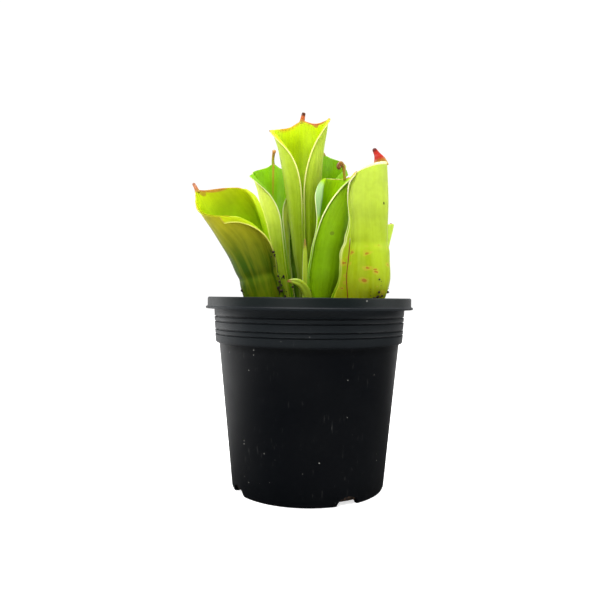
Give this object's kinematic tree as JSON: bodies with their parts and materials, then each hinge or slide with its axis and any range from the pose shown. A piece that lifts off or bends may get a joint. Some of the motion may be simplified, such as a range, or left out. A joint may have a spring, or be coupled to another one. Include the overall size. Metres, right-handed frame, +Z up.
{
  "type": "potted pitcher plant",
  "caption": "Clump of hollow pitcher-shaped leaves with small nectar spoons, growing in potting mix in a round ribbed black nursery pot.",
  "frame": {"origin": "centre of the pot's flat underside, on the floor", "axes": "+Z up along the pot's axis; -Y is the front, the side the tallest pitcher opens towards; +X to the right seen from the front"},
  "size_m": [0.1086, 0.1, 0.1861],
  "materials": {
    "pot_plastic": "near-black moulded plastic, satin, finely scuffed",
    "potting_mix": "damp dark peat and fine bark",
    "rhizome_bark": "dull brown, fibrous",
    "leaf_pale": "smooth leaf, soft gloss, pale yellow-green",
    "leaf_bright": "smooth leaf, soft gloss, bright green",
    "leaf_olive": "smooth leaf, soft gloss, olive green with reddish top",
    "leaf_shaded": "smooth leaf, soft gloss, deep green",
    "perlite": "rough white grain",
    "bark": "rough brown bark"
  },
  "bodies": {
    "root": {"nursery_pot": "pot_plastic", "potting_mix": "potting_mix", "rhizome": "rhizome_bark", "pitcher_tall_centre": "leaf_pale", "pitcher_back_left": "leaf_bright", "pitcher_front_left": "leaf_olive", "pitcher_centre_right": "leaf_bright", "pitcher_back_right": "leaf_bright", "pitcher_front_right": "leaf_pale", "pitcher_back_shaded": "leaf_shaded", "pitcher_small_right": "leaf_bright", "young_leaf_upright": "leaf_pale", "young_leaf_curled": "leaf_pale", "perlite_grain_1": "perlite", "perlite_grain_2": "perlite", "perlite_grain_3": "perlite", "perlite_grain_4": "perlite", "perlite_grain_5": "perlite", "perlite_grain_6": "perlite", "perlite_grain_7": "perlite", "perlite_grain_8": "perlite", "bark_chip_1": "bark", "bark_chip_2": "bark", "bark_chip_3": "bark", "bark_chip_4": "bark", "bark_chip_5": "bark", "bark_chip_6": "bark"}
  },
  "joints": []
}
